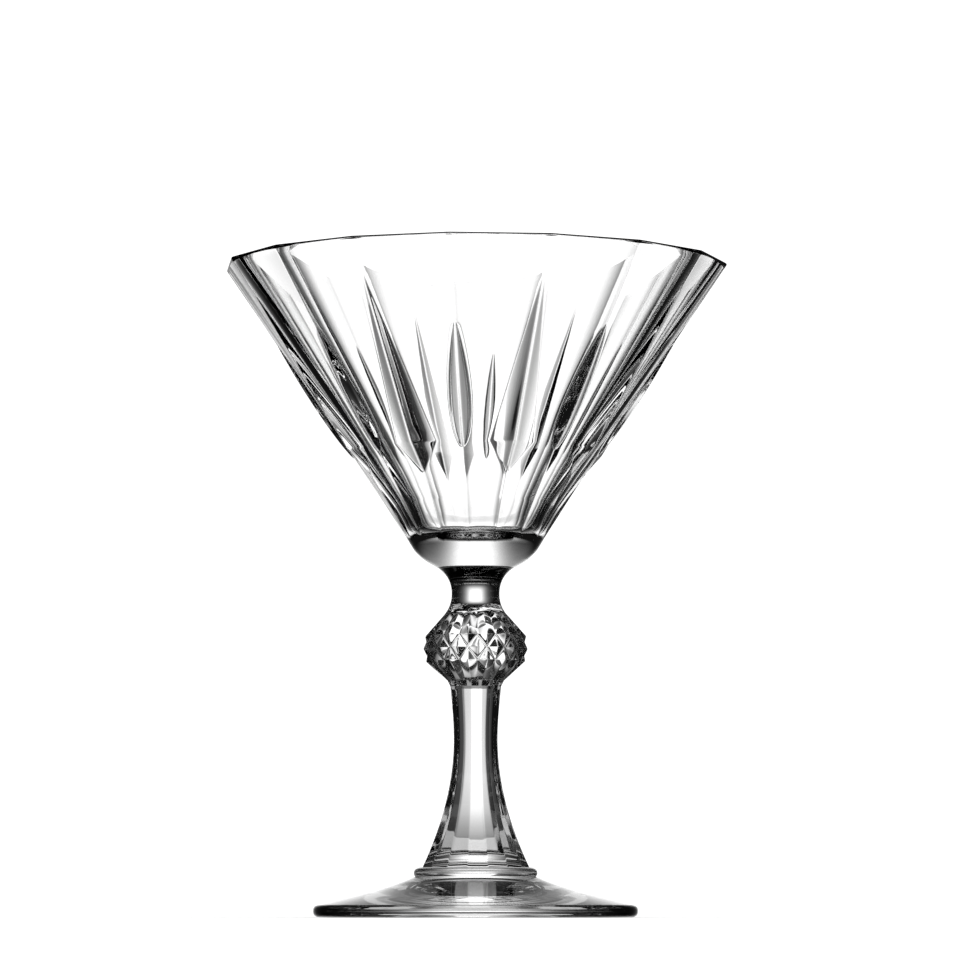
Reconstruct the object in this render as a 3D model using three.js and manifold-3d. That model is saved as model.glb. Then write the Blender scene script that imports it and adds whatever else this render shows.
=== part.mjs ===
// A pressed martini glass at its real size, in millimetres, +Z up.
// The origin is the centre of the foot's underside, and one of the bowl's eight kites faces -Y.
// The glass is pressed in six sections that are fused hot, face to face, at flat joints.
import * as THREE from "three";
import { ConvexGeometry } from "three/addons/geometries/ConvexGeometry.js";
import { mergeVertices } from "three/addons/utils/BufferGeometryUtils.js";
import Module from "manifold-3d";

const SIDES = 16; // flat panels round the bowl, and flat facets round the stem
const ROUND = 64; // segments of a truly round surface
const STEPS = 6; // segments of one curved stretch of a profile
const SIDE_ANGLE = (2 * Math.PI) / SIDES;
const SIDE_SLOPE = Math.tan(SIDE_ANGLE / 2); // how a panel falls away beside a corner line

// Heights of the flat joints between the sections, and of the rim.
const RIM_Z = 148;
const BOWL_Z = 79;
const KNOP_TOP_Z = 68.6;
const KNOP_FOOT_Z = 52;
const COLLAR_TOP_Z = 11.2;
const FOOT_TOP_Z = 9.2;

// The bowl: radii are taken to the 16 corner lines, where two panels meet.
const RIM_R = 57.7;
const BOWL_SLOPE = 0.679; // growth of the corner radius for each millimetre of height
const BEND_Z = 94.9; // below this the bowl is a little steeper
const PANEL_FOOT = { r: 14.4, z: 83.6 }; // the panels run out into the round base here
const PANEL_FULL_Z = 91; // the panels are flat over their whole width above this
const BASE_R = 8.7;
const RIM_ROUND = 0.4; // the rim is flat, with a small rounded edge
const CAVITY_R = 55.2; // inside radius at the rim
const CAVITY_LOW = { r: 15.4, z: 94.9 };
const CAVITY_STEP = { r: 10.2, z: 87.2 }; // the floor dips inside this step
const CAVITY_FLOOR = { r: 8.2, z: 85.7 };

// Eight big raised kites, on every second corner line.
const KITES = 8;
const KITE = { tip: 142, side: 105.2, foot: 98.8, halfWidth: 5.2, rise: 1.65 };

// Eight narrow raised leaves, on the corner lines between the kites.
const LEAF = { tip: 131, foot: 104, halfWidth: 2.5, rise: 1.2, shoulder: 0.72, shoulderRise: 0.2 };
const LEAF_STEPS = 12;
const LEAF_BLUNTNESS = 0.6; // 1 would make the leaf's outline a parabola
const LEAF_SWELL = 1.5; // above 1, the leaf is widest below its middle
const SINK = 1.5; // how deep a raised ornament reaches into the wall

// The neck, between the bowl's base and the knop.
const NECK = { r: 5.44, z: 73, foot: 6.95 };

// The knop: three rows of diamond points, set half a division apart.
const STEM_TURN = THREE.MathUtils.degToRad(-3); // the stem's mould was turned by this under the bowl
const POINT_ROWS = [
  { r: 11.56, z: 63.4 },
  { r: 11.8, z: 60.55 },
  { r: 11.33, z: 57.7 },
];
const POINT_HEIGHT = 0.9;
const KNOP_WAIST = { r: 6.5, z: 53.3 };

// The stem, the collar under it and the foot.
const STEM_TOP_R = 5.85;
const STEM = { r: 5.05, z: 40, foot: 12.3 };
const COLLAR = { top: 13.1, r: 14.1, foot: 13.7 };
const FOOT_R = 36.7;
const FOOT_EDGE_Z = 2.9;
const FOOT_ROUND = 1.2;
const REST_R = 24; // the foot rests on a flat ring outside this radius
const HOLLOW_Z = 0.9;

const wasm = await Module();
wasm.setup();

const glass = new THREE.MeshStandardMaterial({
  color: 0xf4f7f6,
  roughness: 0.02,
  metalness: 0,
  transparent: true,
  opacity: 0.35,
});

// A point at an angle from -Y towards +X.
function around(angle, r, z) {
  return new THREE.Vector3(r * Math.sin(angle), -r * Math.cos(angle), z);
}

// The closed solid of a profile of radii and heights, turned about Z.
function turned(path, segments, turn = 0) {
  const lathe = new THREE.LatheGeometry(path.getPoints(STEPS), segments, turn);
  return lathe.rotateX(Math.PI / 2);
}

// A geometry as a solid that can be joined and cut.
function solid(geometry) {
  geometry.deleteAttribute("normal");
  geometry.deleteAttribute("uv");
  const merged = mergeVertices(geometry, 1e-4);
  return new wasm.Manifold(
    new wasm.Mesh({
      numProp: 3,
      vertProperties: merged.attributes.position.array,
      triVerts: new Uint32Array(merged.index.array),
    }),
  );
}

// A solid back as a geometry.
function geometryOf(made) {
  const mesh = made.getMesh();
  const geometry = new THREE.BufferGeometry();
  geometry.setAttribute("position", new THREE.BufferAttribute(mesh.vertProperties, 3));
  geometry.setIndex(new THREE.BufferAttribute(mesh.triVerts, 1));
  return geometry;
}

// The bowl's radius to a corner line at a height.
function cornerRadius(z) {
  if (z >= BEND_Z) return RIM_R - BOWL_SLOPE * (RIM_Z - z);
  const bend = cornerRadius(BEND_Z);
  const share = (BEND_Z - z) / (BEND_Z - PANEL_FOOT.z);
  return bend + (PANEL_FOOT.r - bend) * share;
}

// A point near a corner line: so far to its side, and so far out from it.
function besideCorner(angle, z, side, out) {
  const point = around(angle, cornerRadius(z) + out, z);
  return point.addScaledVector(around(angle + Math.PI / 2, 1, 0), side);
}

// A raised ornament: the hull of its outer points and of the same points sunk into the wall.
function raised(points) {
  const sunk = points.map((p) => {
    const r = Math.hypot(p.x, p.y);
    return new THREE.Vector3(p.x * (1 - SINK / r), p.y * (1 - SINK / r), p.z);
  });
  return solid(new ConvexGeometry([...points, ...sunk]));
}

function kite(angle) {
  const fall = -KITE.halfWidth * SIDE_SLOPE;
  return raised([
    besideCorner(angle, KITE.tip, 0, 0),
    besideCorner(angle, KITE.side, 0, KITE.rise),
    besideCorner(angle, KITE.side, KITE.halfWidth, fall),
    besideCorner(angle, KITE.side, -KITE.halfWidth, fall),
    besideCorner(angle, KITE.foot, 0, 0),
  ]);
}

function leaf(angle) {
  const points = [];
  for (let step = 0; step <= LEAF_STEPS; step++) {
    const along = step / LEAF_STEPS;
    const z = LEAF.tip + (LEAF.foot - LEAF.tip) * along;
    const swell = Math.pow(along, LEAF_SWELL);
    const bulge = Math.pow(4 * swell * (1 - swell), LEAF_BLUNTNESS);
    const half = LEAF.halfWidth * bulge;
    points.push(besideCorner(angle, z, 0, LEAF.rise * bulge));
    if (bulge === 0) continue;
    for (const side of [half, -half]) {
      points.push(besideCorner(angle, z, side, -half * SIDE_SLOPE));
      points.push(besideCorner(angle, z, side * LEAF.shoulder, LEAF.shoulderRise * bulge));
    }
  }
  return raised(points);
}

// The 16-sided wall of the bowl, up to its flat rim, as a solid block.
function bowlPanels() {
  const start = RIM_Z - RIM_ROUND;
  const edge = cornerRadius(start);
  return new THREE.Path()
    .moveTo(0, PANEL_FOOT.z)
    .lineTo(PANEL_FOOT.r, PANEL_FOOT.z)
    .lineTo(cornerRadius(BEND_Z), BEND_Z)
    .lineTo(edge, start)
    .quadraticCurveTo(RIM_R, RIM_Z, RIM_R - 2 * RIM_ROUND, RIM_Z)
    .lineTo(0, RIM_Z);
}

// The round base of the bowl. It thins out behind the panels, so that they end in soft arches.
function bowlBase() {
  const behind = cornerRadius(PANEL_FULL_Z) * Math.cos(SIDE_ANGLE / 2);
  return new THREE.Path()
    .moveTo(0, BOWL_Z)
    .lineTo(BASE_R, BOWL_Z)
    .bezierCurveTo(11.3, 80.3, 13.2, 81.7, PANEL_FOOT.r, PANEL_FOOT.z)
    .lineTo(behind, PANEL_FULL_Z)
    .lineTo(0, PANEL_FULL_Z);
}

// The inside of the bowl: a smooth cone down to a rounded corner, and a floor with a shallow dip.
function bowlCavity() {
  const slope = (CAVITY_R - CAVITY_LOW.r) / (RIM_Z - CAVITY_LOW.z);
  return new THREE.Path()
    .moveTo(0, CAVITY_FLOOR.z)
    .lineTo(1, CAVITY_FLOOR.z)
    .bezierCurveTo(CAVITY_FLOOR.r, CAVITY_FLOOR.z, 8.6, 86.9, CAVITY_STEP.r, CAVITY_STEP.z)
    .bezierCurveTo(12.9, 87.8, 13.4, 91.5, CAVITY_LOW.r, CAVITY_LOW.z)
    .lineTo(CAVITY_R + slope, RIM_Z + 1)
    .lineTo(0, RIM_Z + 1);
}

function bowl() {
  let made = solid(turned(bowlPanels(), SIDES)).add(solid(turned(bowlBase(), ROUND)));
  for (let i = 0; i < KITES; i++) {
    const angle = (2 * Math.PI * i) / KITES;
    made = made.add(kite(angle)).add(leaf(angle + SIDE_ANGLE));
  }
  return geometryOf(made.subtract(solid(turned(bowlCavity(), ROUND))));
}

function neck() {
  const path = new THREE.Path()
    .moveTo(0, KNOP_TOP_Z)
    .lineTo(NECK.foot, KNOP_TOP_Z)
    .bezierCurveTo(6, 69.8, NECK.r, 71.3, NECK.r, NECK.z)
    .bezierCurveTo(NECK.r, 75.6, 6.4, 77.5, BASE_R, BOWL_Z)
    .lineTo(0, BOWL_Z);
  return turned(path, ROUND);
}

// One ring of the knop: a point on every second place, and a valley on the places between.
function knopRing({ r, z }, depth, pointsOnEven) {
  return Array.from({ length: 2 * SIDES }, (_, i) => {
    const isPoint = (i % 2 === 0) === pointsOnEven;
    return around(STEM_TURN + (i * SIDE_ANGLE) / 2, isPoint ? r : r - depth, z);
  });
}

// The knop is a stack of rings. Each cell is split from valley to valley, which leaves the points
// standing as four-sided diamonds.
function knop() {
  const rings = [
    knopRing({ r: NECK.foot, z: KNOP_TOP_Z }, 0, false),
    ...POINT_ROWS.map((row, i) => knopRing(row, POINT_HEIGHT, i % 2 === 0)),
    knopRing(KNOP_WAIST, 0, false),
    knopRing({ r: STEM_TOP_R, z: KNOP_FOOT_Z }, 0, true),
  ];
  const count = 2 * SIDES;
  const vertices = rings.flat();
  const top = vertices.length;
  vertices.push(new THREE.Vector3(0, 0, KNOP_TOP_Z), new THREE.Vector3(0, 0, KNOP_FOOT_Z));
  const faces = [];
  for (let i = 0; i < count; i++) {
    const next = (i + 1) % count;
    faces.push(top, i, next, top + 1, (rings.length - 1) * count + next, (rings.length - 1) * count + i);
    for (let ring = 0; ring + 1 < rings.length; ring++) {
      const [a, b] = [ring * count + i, ring * count + next];
      const [c, d] = [a + count, b + count];
      const valleyOnLeft = (i + ring) % 2 === 0;
      faces.push(...(valleyOnLeft ? [a, c, d, a, d, b] : [a, c, b, b, c, d]));
    }
  }
  const geometry = new THREE.BufferGeometry().setFromPoints(vertices);
  return geometry.setIndex(faces);
}

function stem() {
  const path = new THREE.Path()
    .moveTo(0, COLLAR_TOP_Z)
    .lineTo(STEM.foot, COLLAR_TOP_Z)
    .bezierCurveTo(8.6, 19, STEM.r, 29, STEM.r, STEM.z)
    .bezierCurveTo(STEM.r, 44.5, 5.5, 48, STEM_TOP_R, KNOP_FOOT_Z)
    .lineTo(0, KNOP_FOOT_Z);
  return turned(path, SIDES, STEM_TURN);
}

function collar() {
  const path = new THREE.Path()
    .moveTo(0, FOOT_TOP_Z)
    .lineTo(COLLAR.foot, FOOT_TOP_Z)
    .bezierCurveTo(COLLAR.r, 9.5, COLLAR.r + 0.2, 10.6, COLLAR.top, COLLAR_TOP_Z)
    .lineTo(0, COLLAR_TOP_Z);
  return turned(path, ROUND);
}

function foot() {
  const path = new THREE.Path()
    .moveTo(0, HOLLOW_Z)
    .quadraticCurveTo(0.6 * REST_R, HOLLOW_Z, REST_R, 0)
    .lineTo(FOOT_R - FOOT_ROUND, 0)
    .quadraticCurveTo(FOOT_R, 0, FOOT_R, 0.5 * FOOT_EDGE_Z)
    .quadraticCurveTo(FOOT_R, FOOT_EDGE_Z - 0.2, FOOT_R - FOOT_ROUND, FOOT_EDGE_Z)
    .bezierCurveTo(27, 5, 20.5, 6.2, COLLAR.foot, FOOT_TOP_Z)
    .lineTo(0, FOOT_TOP_Z);
  return turned(path, ROUND);
}

const martiniGlass = new THREE.Group();
const sections = { bowl, neck, knop, stem, collar, foot };
for (const [name, make] of Object.entries(sections)) {
  const mesh = new THREE.Mesh(make(), glass);
  mesh.name = name;
  martiniGlass.add(mesh);
}

export default martiniGlass;
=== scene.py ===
import math

import bpy
import numpy as np
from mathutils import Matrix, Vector


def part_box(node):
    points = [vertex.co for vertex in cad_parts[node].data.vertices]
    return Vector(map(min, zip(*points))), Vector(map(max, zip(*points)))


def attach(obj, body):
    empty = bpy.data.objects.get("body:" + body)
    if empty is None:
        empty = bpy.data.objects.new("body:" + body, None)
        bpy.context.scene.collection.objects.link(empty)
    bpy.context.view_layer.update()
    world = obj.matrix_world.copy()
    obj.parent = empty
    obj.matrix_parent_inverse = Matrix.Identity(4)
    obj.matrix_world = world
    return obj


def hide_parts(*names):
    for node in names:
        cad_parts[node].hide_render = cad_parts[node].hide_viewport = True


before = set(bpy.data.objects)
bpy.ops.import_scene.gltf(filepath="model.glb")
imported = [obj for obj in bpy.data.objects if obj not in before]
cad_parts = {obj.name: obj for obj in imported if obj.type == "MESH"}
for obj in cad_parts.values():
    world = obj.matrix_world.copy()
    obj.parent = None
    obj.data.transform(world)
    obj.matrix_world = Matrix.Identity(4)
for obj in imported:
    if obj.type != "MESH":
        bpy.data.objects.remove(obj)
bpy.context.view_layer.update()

MM = 0.001

# ---------------------------------------------------------------------------------------------
# Sizes, in millimetres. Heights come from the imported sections; the rest is the pressed pattern.


def height(node, top):
    """The lowest or highest Z of a CAD section, in millimetres."""
    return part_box(node)[1 if top else 0][2] / MM


RIM_Z = height("bowl", True)
BOWL_Z = height("neck", True)
KNOP_TOP_Z = height("knop", True)
KNOP_FOOT_Z = height("stem", True)
COLLAR_TOP_Z = height("collar", True)
FOOT_TOP_Z = height("foot", True)
FOOT_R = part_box("foot")[1][0] / MM

SIDES = 16
SIDE_ANGLE = 2 * math.pi / SIDES
SIDE_SLOPE = math.tan(SIDE_ANGLE / 2)

# The bowl. Radii are taken to the 16 corner lines, where two panels meet.
RIM_R = 57.7
BOWL_SLOPE = 0.679  # growth of the corner radius for each millimetre of height
BEND_Z = 94.9  # below this the bowl is a little steeper
PANEL_FOOT_R, PANEL_FOOT_Z = 14.4, 83.6
PANEL_FULL_Z = 91.0  # the panels are flat over their whole width above this
BASE_R = 8.7
BASE_CURVE = (11.3, 80.3), (13.2, 81.7)
RIM_START_Z = 146.2  # the wall's rings end here, a little under the rim
RIM_ROUND = 0.4
CAVITY_R = 55.2
CAVITY_LOW_R, CAVITY_LOW_Z = 15.4, 94.9
CAVITY_CURVE = (13.4, 91.5), (12.9, 87.8)
CAVITY_STEP_R, CAVITY_STEP_Z = 10.2, 87.2  # the floor dips inside this step
CAVITY_FLOOR_R, CAVITY_FLOOR_Z = 8.2, 85.7
CAVITY_DIP = 8.6, 86.9
CAVITY_MIDDLE_R = 1
CAVITY_SLOPE = (CAVITY_R - CAVITY_LOW_R) / (RIM_Z - CAVITY_LOW_Z)

KITE_TIP_Z, KITE_SIDE_Z, KITE_FOOT_Z = 142.0, 105.2, 98.8
KITE_HALF, KITE_RISE = 5.2, 1.65  # half its width, and how far its ridge stands out
KITE_SLOPE = SIDE_SLOPE + KITE_RISE / KITE_HALF
LEAF_TIP_Z, LEAF_FOOT_Z = 131.0, 104.0
LEAF_HALF, LEAF_RISE = 2.5, 1.2
LEAF_SHOULDER, LEAF_SHOULDER_RISE = 0.72, 0.2
LEAF_BLUNTNESS = 0.6  # 1 would make its outline a parabola
LEAF_SWELL = 1.5  # above 1, the leaf is widest below its middle
EDGE = 0.22  # how far fire polishing has rounded a ridge, to each side
VALLEY = 0.08  # how deep it has filled a valley
LEAST_HALF = 0.5  # a kite or a leaf keeps columns at least this far to its side

# The neck and the knop. Each row of points is a radius and a height.
NECK_R, NECK_Z, NECK_FOOT_R = 5.44, 73.0, 6.95
NECK_LOWER_CURVE = (6, 69.8), (NECK_R, 71.3)
NECK_UPPER_CURVE = (NECK_R, 75.6), (6.4, 77.5)
STEM_TURN = math.radians(-3)  # the stem's mould was turned by this under the bowl
POINTS = ((11.56, 63.4), (11.8, 60.55), (11.33, 57.7))
POINT_HEIGHT, POINT_ROUND, POINT_VALLEY = 0.9, 0.2, 0.06
WAIST_R, WAIST_Z = 6.5, 53.3

# The stem, the collar and the foot.
STEM_TOP_R = 5.85
STEM_R, STEM_Z, STEM_FOOT_R = 5.05, 40.0, 12.3
STEM_LOWER_CURVE = (8.6, 19), (STEM_R, 29)
STEM_UPPER_CURVE = (STEM_R, 44.5), (5.5, 48)
STEM_EDGE = 0.12  # how far its corners are rounded, to each side
COLLAR_TOP_R, COLLAR_R, COLLAR_FOOT_R = 13.1, 14.1, 13.7
COLLAR_CURVE = (COLLAR_R, 9.5), (COLLAR_R + 0.2, 10.6)
FOOT_EDGE_Z, FOOT_ROUND = 2.9, 1.2
FOOT_EDGE_CURVE = FOOT_R, FOOT_EDGE_Z - 0.2
FOOT_TOP_CURVE = (27, 5), (20.5, 6.2)
REST_R, HOLLOW_R, HOLLOW_Z = 24.0, 0.5, 0.9  # it rests on a flat ring outside a shallow hollow
HOLLOW_FLAT = 0.6  # the share of the hollow that is nearly flat

# ---------------------------------------------------------------------------------------------
# Curves and small helpers


def bezier(points, count):
    """count points of the quadratic or cubic curve with these control points, ends included."""
    t = np.linspace(0, 1, count)[:, None]
    made = np.array(points, float)[None].repeat(count, 0)
    while made.shape[1] > 1:
        made = made[:, :-1] * (1 - t[:, None]) + made[:, 1:] * t[:, None]
    return made[:, 0]


def outline(*stretches):
    """One outline of (radius, height) from stretches that share their ends."""
    return np.concatenate([s if i == 0 else s[1:] for i, s in enumerate(stretches)])


def line(start, end, count):
    return bezier((start, end), count)


def crowded(start, end, count):
    """count values from start to end, crowded at both ends."""
    return start + (end - start) * (1 - np.cos(np.linspace(0, math.pi, count))) / 2


def soft_abs(x, width):
    return np.sqrt(x * x + width * width)


def soft_max(a, b, width):
    share = np.maximum(width - np.abs(a - b), 0) / width
    return np.maximum(a, b) + share * share * width / 4


def soft_min(a, b, width):
    return -soft_max(-a, -b, width)


def fade(x, start, end):
    """0 at start, 1 at end, smooth between."""
    t = np.clip((x - start) / (end - start), 0, 1)
    return t * t * (3 - 2 * t)


# ---------------------------------------------------------------------------------------------
# Meshes: every section is a stack of rings, with a flat cap where it is fused to the next one.

GLASS, FUSED = 0, 1


def section(name, angles, radii, heights, bottom, top):
    """A closed mesh from rings of points. bottom and top, FUSED or GLASS, are its caps' slots."""
    rings, columns = radii.shape
    angles = np.broadcast_to(angles, radii.shape)
    heights = np.broadcast_to(heights, radii.shape)
    points = np.stack([radii * np.sin(angles), -radii * np.cos(angles), heights], -1)
    middles = [[0, 0, heights[0].mean()], [0, 0, heights[-1].mean()]]
    points = np.concatenate([points.reshape(-1, 3), middles]) * MM

    ring, column = np.meshgrid(np.arange(rings - 1), np.arange(columns), indexing="ij")
    here, beside = ring * columns + column, ring * columns + (column + 1) % columns
    quads = np.stack([here, beside, beside + columns, here + columns], -1).reshape(-1, 4)
    first = np.arange(columns)
    second = (first + 1) % columns
    low, high = len(points) - 2, len(points) - 1
    last = (rings - 1) * columns
    floor_fan = np.stack([second, first, np.full(columns, low)], -1)
    roof_fan = np.stack([last + first, last + second, np.full(columns, high)], -1)

    mesh = bpy.data.meshes.new(name)
    faces = [*quads.tolist(), *floor_fan.tolist(), *roof_fan.tolist()]
    mesh.from_pydata(points.tolist(), [], faces)
    slots = np.zeros(len(faces), np.int32)
    slots[len(quads) : len(quads) + columns] = bottom
    slots[len(quads) + columns :] = top
    mesh.polygons.foreach_set("material_index", slots)
    mesh.polygons.foreach_set("use_smooth", np.ones(len(faces), bool))
    mesh.update()
    split_between_slots(mesh)
    made = bpy.data.objects.new(name, mesh)
    bpy.context.collection.objects.link(made)
    return made


def split_between_slots(mesh):
    """Keeps a fused cap's flat normals out of the glass beside it."""
    slots = [p.material_index for p in mesh.polygons]
    seen, sharp = {}, np.zeros(len(mesh.edges), bool)
    for polygon in mesh.polygons:
        for loop in polygon.loop_indices:
            edge = mesh.loops[loop].edge_index
            if seen.setdefault(edge, slots[polygon.index]) != slots[polygon.index]:
                sharp[edge] = True
    mesh.attributes.new("sharp_edge", "BOOLEAN", "EDGE")
    mesh.attributes["sharp_edge"].data.foreach_set("value", sharp)


# ---------------------------------------------------------------------------------------------
# The bowl


def corner_radius(z):
    """The bowl's radius to one of its 16 corner lines."""
    bend = RIM_R - BOWL_SLOPE * (RIM_Z - BEND_Z)
    low = bend + (PANEL_FOOT_R - bend) * (BEND_Z - z) / (BEND_Z - PANEL_FOOT_Z)
    return np.where(z >= BEND_Z, RIM_R - BOWL_SLOPE * (RIM_Z - z), low)


def roof(ridge, slope, angle, reach):
    """The radius of a surface that falls by slope to each side of a ridge at angle 0."""
    return ridge / (np.cos(angle) + slope * soft_abs(np.sin(angle), EDGE / reach))


def kite_ridge(z):
    """How far a kite's ridge stands out of the corner line."""
    top = corner_radius(np.array(KITE_TIP_Z))
    side = corner_radius(np.array(KITE_SIDE_Z)) + KITE_RISE
    foot = corner_radius(np.array(KITE_FOOT_Z))
    upper = side + (top - side) * (z - KITE_SIDE_Z) / (KITE_TIP_Z - KITE_SIDE_Z)
    lower = foot + (side - foot) * (z - KITE_FOOT_Z) / (KITE_SIDE_Z - KITE_FOOT_Z)
    return soft_min(upper, lower, VALLEY)


def leaf_bulge(z):
    """The share of its full width and rise that a leaf has at a height."""
    along = np.clip((LEAF_TIP_Z - z) / (LEAF_TIP_Z - LEAF_FOOT_Z), 0, 1) ** LEAF_SWELL
    return (4 * along * (1 - along)) ** LEAF_BLUNTNESS


def bowl_surface(fold, z):
    """The outside radius at fold, the angle from a kite's line towards a leaf's line.

    Each facet is a roof, and the outermost roof is the surface. A leaf is two roofs, a low one over
    its middle and a steep one at its sides.
    """
    corner = corner_radius(z)
    panel = np.where(
        fold < SIDE_ANGLE / 2,
        roof(corner, SIDE_SLOPE, fold, corner),
        roof(corner, SIDE_SLOPE, SIDE_ANGLE - fold, corner),
    )
    kite = roof(kite_ridge(z), KITE_SLOPE, fold, corner)
    bulge = leaf_bulge(z)
    inner_slope = (LEAF_RISE - LEAF_SHOULDER_RISE) / (LEAF_SHOULDER * LEAF_HALF)
    outer_fall = LEAF_SHOULDER_RISE + LEAF_HALF * SIDE_SLOPE
    outer_slope = outer_fall / ((1 - LEAF_SHOULDER) * LEAF_HALF)
    outer_rise = LEAF_SHOULDER_RISE + outer_slope * LEAF_SHOULDER * LEAF_HALF
    leaf = soft_min(
        roof(corner + LEAF_RISE * bulge, inner_slope, SIDE_ANGLE - fold, corner),
        roof(corner + outer_rise * bulge, outer_slope, SIDE_ANGLE - fold, corner),
        VALLEY,
    )
    made = soft_max(soft_max(panel, kite, VALLEY), leaf, VALLEY)
    behind = corner_radius(np.array(PANEL_FULL_Z)) * math.cos(SIDE_ANGLE / 2)
    share = (z - PANEL_FOOT_Z) / (PANEL_FULL_Z - PANEL_FOOT_Z)
    core = PANEL_FOOT_R + (behind - PANEL_FOOT_R) * share
    return np.where(z <= PANEL_FULL_Z, soft_max(made, core, VALLEY), made)


def bowl_columns(z):
    """Angles from a kite's line to a leaf's line, crowded at the pattern's edges."""
    corner = corner_radius(z)
    proud = np.clip(kite_ridge(z) - corner, 0, None)
    kite = np.arctan(np.maximum(proud / (KITE_SLOPE - SIDE_SLOPE), LEAST_HALF) / corner)
    half = np.maximum(LEAF_HALF * leaf_bulge(z), LEAST_HALF) / corner
    marks = [0, kite, SIDE_ANGLE - half, SIDE_ANGLE - LEAF_SHOULDER * half, SIDE_ANGLE]
    counts = [11, 7, 4, 7]
    parts = [crowded(a, b, n)[:-1] for a, b, n in zip(marks, marks[1:], counts)]
    warped = np.concatenate([*parts, [SIDE_ANGLE]])
    even = np.linspace(0, SIDE_ANGLE, len(warped))
    share = fade(z, PANEL_FOOT_Z, PANEL_FULL_Z)
    return warped * share + even * (1 - share)


def all_round(fold):
    """Angles all round, and the fold that each lies at, from the folds between two lines."""
    angles, folds = [], []
    for side in range(SIDES):
        start = side * SIDE_ANGLE
        one = fold if side % 2 == 0 else SIDE_ANGLE - fold[::-1]
        angles.append(start + one[:-1])
        folds.append((one if side % 2 == 0 else SIDE_ANGLE - one)[:-1])
    return np.concatenate(angles), np.concatenate(folds)


def bowl_outside():
    """Rings up the outside of the bowl, from the neck to a little under the rim."""
    base = bezier(((BASE_R, BOWL_Z), *BASE_CURVE, (PANEL_FOOT_R, PANEL_FOOT_Z)), 28)
    angles, radii, heights = [], [], []
    for r, z in base[:-1]:
        a, _ = all_round(bowl_columns(z))
        angles.append(a)
        radii.append(np.full_like(a, r))
        heights.append(np.full_like(a, z))
    marks = (PANEL_FOOT_Z, KITE_FOOT_Z, LEAF_FOOT_Z, KITE_SIDE_Z, LEAF_TIP_Z, RIM_START_Z)
    counts = (24, 12, 5, 44, 18)
    parts = [crowded(a, b, n)[:-1] for a, b, n in zip(marks, marks[1:], counts)]
    for z in np.concatenate([*parts, [RIM_START_Z]]):
        a, fold = all_round(bowl_columns(z))
        angles.append(a)
        radii.append(bowl_surface(fold, z))
        heights.append(np.full_like(a, z))
    return angles, radii, heights


def rim(outer):
    """Rings over the rim: a rounded edge outside, a flat top and a rounded edge inside. outer is
    the outside radius that each column of the wall would have at the rim's height."""
    lean_out, lean_in = math.atan(BOWL_SLOPE), math.atan(CAVITY_SLOPE)
    outside = outer - RIM_ROUND * (1 / math.cos(lean_out) + BOWL_SLOPE)
    inside = CAVITY_R + RIM_ROUND * (1 / math.cos(lean_in) - CAVITY_SLOPE)
    turns = [(outside, turn) for turn in np.linspace(-lean_out, math.pi / 2, 10)]
    turns += [(inside, turn) for turn in np.linspace(math.pi / 2, math.pi - lean_in, 10)]
    radii = [middle + RIM_ROUND * math.cos(turn) for middle, turn in turns]
    heights = [RIM_Z - RIM_ROUND + RIM_ROUND * math.sin(turn) for _, turn in turns]
    return radii, heights


def bowl():
    angles, radii, heights = bowl_outside()
    edge_angles = angles[-1]
    rim_radii, rim_heights = rim(radii[-1] + BOWL_SLOPE * (RIM_Z - RIM_START_Z))
    radii += rim_radii
    heights += rim_heights
    edge = (CAVITY_R - CAVITY_SLOPE * (RIM_Z - RIM_START_Z), RIM_START_Z)
    wall = line(edge, (CAVITY_LOW_R, CAVITY_LOW_Z), 12)
    step = (CAVITY_STEP_R, CAVITY_STEP_Z)
    corner = bezier(((CAVITY_LOW_R, CAVITY_LOW_Z), *CAVITY_CURVE, step), 26)
    floor = (CAVITY_FLOOR_R, CAVITY_FLOOR_Z)
    dip = bezier((step, CAVITY_DIP, floor, (CAVITY_MIDDLE_R, CAVITY_FLOOR_Z)), 26)
    columns = len(edge_angles)
    for r, z in outline(wall, corner, dip):
        radii.append(np.full(columns, r))
        heights.append(np.full(columns, z))
    radii = [np.broadcast_to(r, columns) for r in radii]
    heights = [np.broadcast_to(z, columns) for z in heights]
    angles += [edge_angles] * (len(radii) - len(angles))
    rings = np.array(angles), np.array(radii), np.array(heights)
    return section("bowl_glass", *rings, FUSED, GLASS)


# ---------------------------------------------------------------------------------------------
# The sections under the bowl


def turned(name, profile, bottom, top, columns=256):
    """A round section from an outline of (radius, height), from its lower cap to its upper one."""
    angles = np.arange(columns) * 2 * math.pi / columns
    radii = profile[:, :1].repeat(columns, 1)
    return section(name, angles, radii, profile[:, 1:], bottom, top)


def neck():
    lower = bezier(((NECK_FOOT_R, KNOP_TOP_Z), *NECK_LOWER_CURVE, (NECK_R, NECK_Z)), 40)
    upper = bezier(((NECK_R, NECK_Z), *NECK_UPPER_CURVE, (BASE_R, BOWL_Z)), 50)
    return turned("neck_glass", outline(lower, upper), FUSED, FUSED, 384)


def half_facets(count):
    """Angles round the knop and the stem, crowded at the facets' corners and middles."""
    one = crowded(0, SIDE_ANGLE / 2, count + 1)[:-1]
    starts = np.arange(2 * SIDES) * SIDE_ANGLE / 2
    return (starts[:, None] + one[None]).ravel()


FACET_ANGLES = half_facets(12)


def facet_radius(radius, angle):
    """A regular 16-sided section with softly rounded corners."""
    fold = np.abs((angle + SIDE_ANGLE / 2) % SIDE_ANGLE - SIDE_ANGLE / 2)
    return radius / (np.cos(fold) + SIDE_SLOPE * soft_abs(np.sin(fold), STEM_EDGE / radius))


def rounded_share(x, width):
    """x from 0 to 1, eased at both ends, which rounds the tips and the valleys of a zigzag."""
    reach = math.hypot(1, width) - width
    return 0.5 + 0.5 * (soft_abs(x, width) - soft_abs(1 - x, width)) / reach


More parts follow.
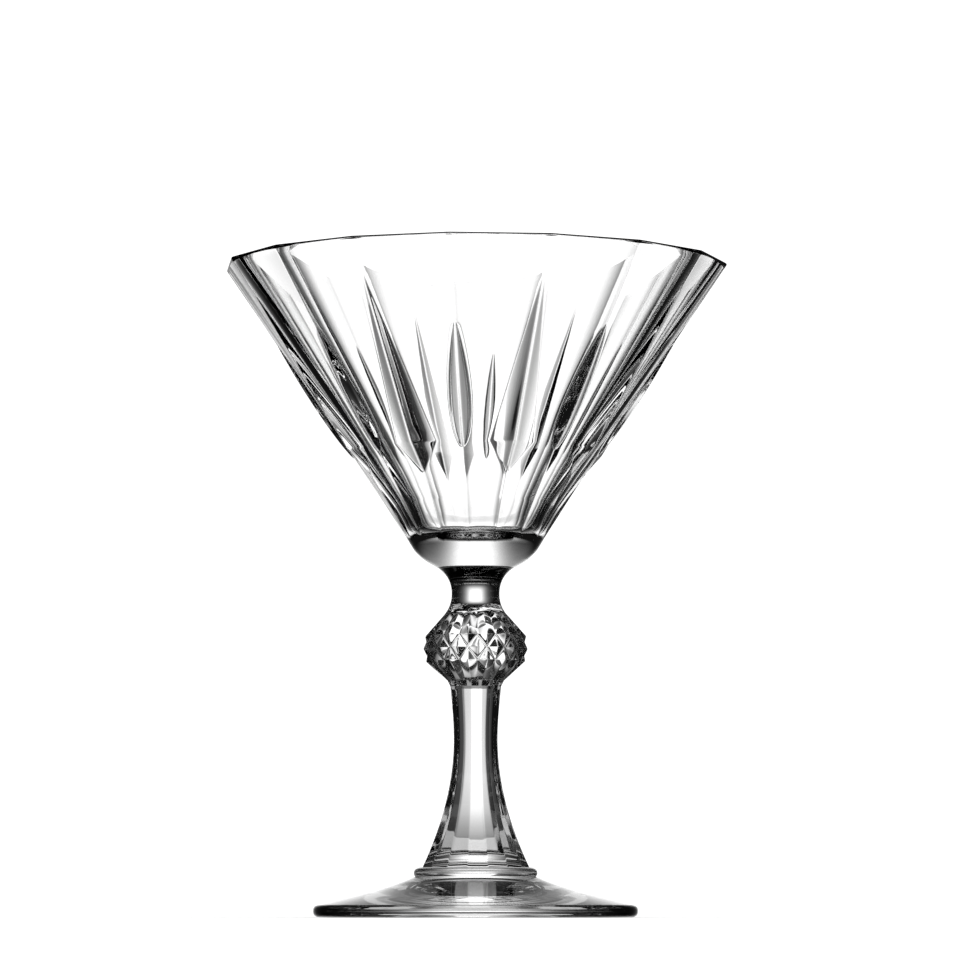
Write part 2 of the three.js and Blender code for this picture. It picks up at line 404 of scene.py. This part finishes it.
def knop_radius(angle, z):
    """The knop's radius. u and v run from point to point, across and down, and inside is how deep
    a place lies between the points. Over and under the points the knop narrows to its two ends."""
    (top_r, top_z), (mid_r, mid_z), (low_r, low_z) = POINTS
    step = (top_z - low_z) / 2
    u = np.abs((angle / (SIDE_ANGLE / 2) + 1) % 2 - 1)
    v = np.abs(((top_z - z) / step + 1) % 2 - 1)
    u, v = rounded_share(u, POINT_ROUND), rounded_share(v, POINT_ROUND)
    inside = 1 - soft_abs(u + v - 1, POINT_VALLEY)
    envelope = np.interp(z, (low_z, mid_z, top_z), (low_r, mid_r, top_r))
    if low_z <= z <= top_z:
        return envelope - POINT_HEIGHT * inside
    if z > top_z:
        share = (z - top_z) / (KNOP_TOP_Z - top_z)
        return top_r + (NECK_FOOT_R - top_r) * share - POINT_HEIGHT * u * (1 - share)
    share = (low_z - z) / (low_z - WAIST_Z)
    if share < 1:
        faceted = facet_radius(low_r + (WAIST_R - low_r) * share, angle)
        pointed = low_r + (WAIST_R - low_r) * share - POINT_HEIGHT * u * (1 - share)
        return pointed * (1 - share) + faceted * share
    waist = (WAIST_Z - z) / (WAIST_Z - KNOP_FOOT_Z)
    return facet_radius(WAIST_R + (STEM_TOP_R - WAIST_R) * waist, angle)


def knop():
    marks = (KNOP_FOOT_Z, WAIST_Z, POINTS[2][1], POINTS[1][1], POINTS[0][1], KNOP_TOP_Z)
    counts = (7, 20, 14, 14, 24)
    parts = [crowded(a, b, n)[:-1] for a, b, n in zip(marks, marks[1:], counts)]
    heights = np.concatenate([*parts, [KNOP_TOP_Z]])
    radii = np.array([knop_radius(FACET_ANGLES, z) for z in heights])
    return section("knop_glass", FACET_ANGLES + STEM_TURN, radii, heights[:, None], FUSED, FUSED)


def stem():
    lower = bezier(((STEM_FOOT_R, COLLAR_TOP_Z), *STEM_LOWER_CURVE, (STEM_R, STEM_Z)), 60)
    upper = bezier(((STEM_R, STEM_Z), *STEM_UPPER_CURVE, (STEM_TOP_R, KNOP_FOOT_Z)), 30)
    profile = outline(lower, upper)
    radii = np.array([facet_radius(r, FACET_ANGLES) for r, _ in profile])
    return section("stem_glass", FACET_ANGLES + STEM_TURN, radii, profile[:, 1:], FUSED, FUSED)


def collar():
    bottom, top = (COLLAR_FOOT_R, FOOT_TOP_Z), (COLLAR_TOP_R, COLLAR_TOP_Z)
    side = bezier((bottom, *COLLAR_CURVE, top), 20)
    return turned("collar_glass", side, FUSED, FUSED)


def foot():
    hollow = bezier(((HOLLOW_R, HOLLOW_Z), (HOLLOW_FLAT * REST_R, HOLLOW_Z), (REST_R, 0)), 30)
    rest = line((REST_R, 0), (FOOT_R - FOOT_ROUND, 0), 6)
    middle = (FOOT_R, 0.5 * FOOT_EDGE_Z)
    lower = bezier(((FOOT_R - FOOT_ROUND, 0), (FOOT_R, 0), middle), 12)
    upper = bezier((middle, FOOT_EDGE_CURVE, (FOOT_R - FOOT_ROUND, FOOT_EDGE_Z)), 12)
    top = bezier((upper[-1], *FOOT_TOP_CURVE, (COLLAR_FOOT_R, FOOT_TOP_Z)), 40)
    return turned("foot_glass", outline(hollow, rest, lower, upper, top), GLASS, FUSED)


# ---------------------------------------------------------------------------------------------
# Materials

GLASS_IOR = 1.52
WAVE_SCALE = 70  # about one wave for each 14 mm
WAVE_STRENGTH, WAVE_HEIGHT = 0.01, 0.001
FLOOR_COLOUR = (0.92, 0.92, 0.92, 1)
FLOOR_ROUGHNESS = 0.9


def shader(name):
    material = bpy.data.materials.new(name)
    material.use_nodes = True
    tree = material.node_tree
    tree.nodes.clear()
    output = tree.nodes.new("ShaderNodeOutputMaterial")
    return material, tree, output


def glass_material():
    """Clear pressed soda-lime glass, with the faint waviness that the mould and the flame leave."""
    material, tree, output = shader("clear_glass")
    glass = tree.nodes.new("ShaderNodeBsdfPrincipled")
    glass.inputs["Base Color"].default_value = (1, 1, 1, 1)
    glass.inputs["Roughness"].default_value = 0.0
    glass.inputs["IOR"].default_value = GLASS_IOR
    glass.inputs["Transmission Weight"].default_value = 1.0
    place = tree.nodes.new("ShaderNodeTexCoord")
    waves = tree.nodes.new("ShaderNodeTexNoise")
    waves.inputs["Scale"].default_value = WAVE_SCALE
    waves.inputs["Detail"].default_value = 1
    bump = tree.nodes.new("ShaderNodeBump")
    bump.inputs["Strength"].default_value = WAVE_STRENGTH
    bump.inputs["Distance"].default_value = WAVE_HEIGHT
    tree.links.new(place.outputs["Object"], waves.inputs["Vector"])
    tree.links.new(waves.outputs["Fac"], bump.inputs["Height"])
    tree.links.new(bump.outputs["Normal"], glass.inputs["Normal"])
    tree.links.new(glass.outputs["BSDF"], output.inputs["Surface"])
    return material


def fused_material():
    """The plane where two sections are fused: it isn't there to be seen."""
    material, tree, output = shader("fused_joint")
    clear = tree.nodes.new("ShaderNodeBsdfTransparent")
    tree.links.new(clear.outputs["BSDF"], output.inputs["Surface"])
    return material


def floor_material():
    material, tree, output = shader("pale_floor")
    paint = tree.nodes.new("ShaderNodeBsdfPrincipled")
    paint.inputs["Base Color"].default_value = FLOOR_COLOUR
    paint.inputs["Roughness"].default_value = FLOOR_ROUGHNESS
    paint.inputs["Specular IOR Level"].default_value = 0
    tree.links.new(paint.outputs["BSDF"], output.inputs["Surface"])
    return material


def screen_material(name, strength, half=None):
    """A lit screen. With half, its light is strongest in the middle, and has fallen to half at that
    share of the way to an edge."""
    material, tree, output = shader(name)
    light = tree.nodes.new("ShaderNodeEmission")
    light.inputs["Strength"].default_value = strength
    tree.links.new(light.outputs["Emission"], output.inputs["Surface"])
    if half is None:
        return material
    place = tree.nodes.new("ShaderNodeTexCoord")
    square = tree.nodes.new("ShaderNodeVectorMath")
    square.operation = "MULTIPLY"
    fourth = tree.nodes.new("ShaderNodeVectorMath")
    fourth.operation = "DOT_PRODUCT"
    spread = tree.nodes.new("ShaderNodeMath")
    spread.operation = "MULTIPLY_ADD"
    spread.inputs[1].default_value = half**-4
    spread.inputs[2].default_value = 1
    fall = tree.nodes.new("ShaderNodeMath")
    fall.operation = "DIVIDE"
    fall.inputs[0].default_value = strength
    tree.links.new(place.outputs["Object"], square.inputs[0])
    tree.links.new(place.outputs["Object"], square.inputs[1])
    tree.links.new(square.outputs["Vector"], fourth.inputs[0])
    tree.links.new(square.outputs["Vector"], fourth.inputs[1])
    tree.links.new(fourth.outputs["Value"], spread.inputs[0])
    tree.links.new(spread.outputs[0], fall.inputs[1])
    tree.links.new(fall.outputs[0], light.inputs["Strength"])
    return material


# ---------------------------------------------------------------------------------------------
# The set

CAMERA_TURN = math.radians(-16.8)
CAMERA_AWAY = 1.09
CAMERA_Z = 0.003
SENSOR = 36
FIELD = 0.2182  # how much the picture spans at the stem's axis
AIM_Z = 0.0990
AXIS_ASIDE = 0.001  # the stem stands this far left of the picture's middle
NEAREST, FARTHEST = 0.01, 50

# The cards, in degrees as seen from the glass, in the camera's frame.
CARD_AWAY = 1.6
BACK_PLACE = 0, -9
BACK_GLOW = 12.8, 19.0  # the light has halved this far to the side, and this far up
BACK_HALF = 0.25  # which is this share of the card's half width and half height
BACK_SIZE = [math.degrees(math.atan(math.tan(math.radians(a)) / BACK_HALF)) for a in BACK_GLOW]
BACK_STRENGTH = 1.45
TOP_PLACE, TOP_SIZE, TOP_STRENGTH = (180, 55), (30, 20), 0.4

# Discs under the foot, seen only through the glass: a radius, a height and a strength. The first
# stands in for the table under the foot and glows. That glow is painted light of the table, dimmer
# than the floor as painted shade under the glass. The second is black, a painted shadow under the
# stem.
PAINTED_TABLE_LIGHT_DISC = FOOT_R * MM, -0.0008, 0.55
SHADE_DISC = 0.015, -0.0005, 0.0
DISC_CORNERS = 64

FLOOR_REACH = 8.5
ROOM_WHITE = 1.25  # what the eye and the floor see all round
ROOM_DARK = 0.006  # what the glass sees where there is no card
BOUNCES = 7  # few enough to leave the thick parts of the glass dark
CLEAR_BOUNCES = 24  # for the fused joints, which a ray has to pass


def add_camera():
    data = bpy.data.cameras.new("camera")
    data.sensor_width = SENSOR
    camera = bpy.data.objects.new("camera", data)
    bpy.context.collection.objects.link(camera)
    bpy.context.scene.camera = camera
    back = np.array([math.sin(CAMERA_TURN), -math.cos(CAMERA_TURN), 0])
    right = np.array([math.cos(CAMERA_TURN), math.sin(CAMERA_TURN), 0])
    aim = right * AXIS_ASIDE + np.array([0, 0, AIM_Z])
    place = back * CAMERA_AWAY + right * AXIS_ASIDE + np.array([0, 0, CAMERA_Z])
    away = aim - place
    camera.location = place
    tilt = math.atan2(away[2], math.hypot(away[0], away[1]))
    camera.rotation_euler = (math.pi / 2 + tilt, 0, CAMERA_TURN)
    data.lens = data.sensor_width * float(np.linalg.norm(away)) / FIELD
    data.clip_start, data.clip_end = NEAREST, FARTHEST
    return camera


def sheet(name, reach, material, corners=4):
    """A flat sheet of the set. reach is how far its corners stand from its middle."""
    mesh = bpy.data.meshes.new(name)
    turns = (np.arange(corners) + 0.5) * 2 * math.pi / corners
    points = [(reach * math.cos(turn), reach * math.sin(turn), 0) for turn in turns]
    mesh.from_pydata(points, [], [range(corners)])
    mesh.materials.append(material)
    made = bpy.data.objects.new(name, mesh)
    bpy.context.collection.objects.link(made)
    return made


def hide_from_eye(made):
    """Leaves an object to be seen only in the glass."""
    made.visible_camera = False
    made.visible_diffuse = False
    made.visible_shadow = False


def card(name, camera, place, size, strength, half=None):
    """A lit card that hangs in the camera's frame and faces the glass, seen only in the glass.

    place is its azimuth, 0 behind the glass and 90 on the camera's right, and its elevation.
    size is its half width and half height.
    """
    made = sheet(name, math.sqrt(2), screen_material(name, strength, half))
    a, e = (math.radians(angle) for angle in place)
    towards = Vector((math.sin(a) * math.cos(e), math.sin(e), -math.cos(a) * math.cos(e)))
    made.parent = camera
    made.location = Vector((0, 0, -CAMERA_AWAY)) + towards * CARD_AWAY
    made.rotation_mode = "QUATERNION"
    made.rotation_quaternion = towards.to_track_quat("Z", "Y")
    made.scale = (*(CARD_AWAY * math.tan(math.radians(angle)) for angle in size), 1)
    hide_from_eye(made)


def under_foot(name, radius, z, strength):
    """A disc just under the foot, seen only through the glass. Its glow is painted light, and with
    no glow it is a painted shadow.
    """
    disc = sheet(name, radius, screen_material(name, strength), DISC_CORNERS)
    disc.location = (0, 0, z)
    hide_from_eye(disc)


def add_set(camera):
    floor = sheet("floor", FLOOR_REACH, floor_material())
    floor.visible_glossy = False
    floor.visible_transmission = False
    card("back_screen", camera, BACK_PLACE, BACK_SIZE, BACK_STRENGTH, BACK_HALF)
    # painted light: a glowing disc for the table, dimmed as painted shade under the glass
    under_foot("painted_table_light_under_foot", *PAINTED_TABLE_LIGHT_DISC)
    # painted shadow: a black disc under the stem
    under_foot("shade_under_stem", *SHADE_DISC)
    card("top_card", camera, TOP_PLACE, TOP_SIZE, TOP_STRENGTH)


def add_world():
    """White all round for the eye and the floor, and dark for what the glass bends or mirrors."""
    world = bpy.data.worlds.new("studio")
    bpy.context.scene.world = world
    world.use_nodes = True
    tree = world.node_tree
    tree.nodes.clear()
    output = tree.nodes.new("ShaderNodeOutputWorld")
    room = tree.nodes.new("ShaderNodeBackground")
    room.inputs["Color"].default_value = (1, 1, 1, 1)
    room.inputs["Strength"].default_value = ROOM_WHITE
    dark = tree.nodes.new("ShaderNodeBackground")
    dark.inputs["Color"].default_value = (1, 1, 1, 1)
    dark.inputs["Strength"].default_value = ROOM_DARK
    path = tree.nodes.new("ShaderNodeLightPath")
    either = tree.nodes.new("ShaderNodeMath")
    either.operation = "MAXIMUM"
    mix = tree.nodes.new("ShaderNodeMixShader")
    tree.links.new(path.outputs["Is Camera Ray"], either.inputs[0])
    tree.links.new(path.outputs["Is Diffuse Ray"], either.inputs[1])
    tree.links.new(either.outputs[0], mix.inputs["Fac"])
    tree.links.new(dark.outputs[0], mix.inputs[1])
    tree.links.new(room.outputs[0], mix.inputs[2])
    tree.links.new(mix.outputs[0], output.inputs["Surface"])


def add_glass():
    glass, fused = glass_material(), fused_material()
    sections = {
        "bowl": bowl,
        "neck": neck,
        "knop": knop,
        "stem": stem,
        "collar": collar,
        "foot": foot,
    }
    for node, make in sections.items():
        piece = make()
        piece.data.materials.append(glass)
        piece.data.materials.append(fused)
        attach(piece, "root")
        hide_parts(node)


def set_light_paths():
    scene = bpy.context.scene
    scene.view_settings.view_transform = "Standard"
    scene.cycles.max_bounces = BOUNCES
    scene.cycles.transmission_bounces = BOUNCES
    scene.cycles.glossy_bounces = BOUNCES
    scene.cycles.transparent_max_bounces = CLEAR_BOUNCES


camera = add_camera()
add_glass()
add_set(camera)
add_world()
set_light_paths()
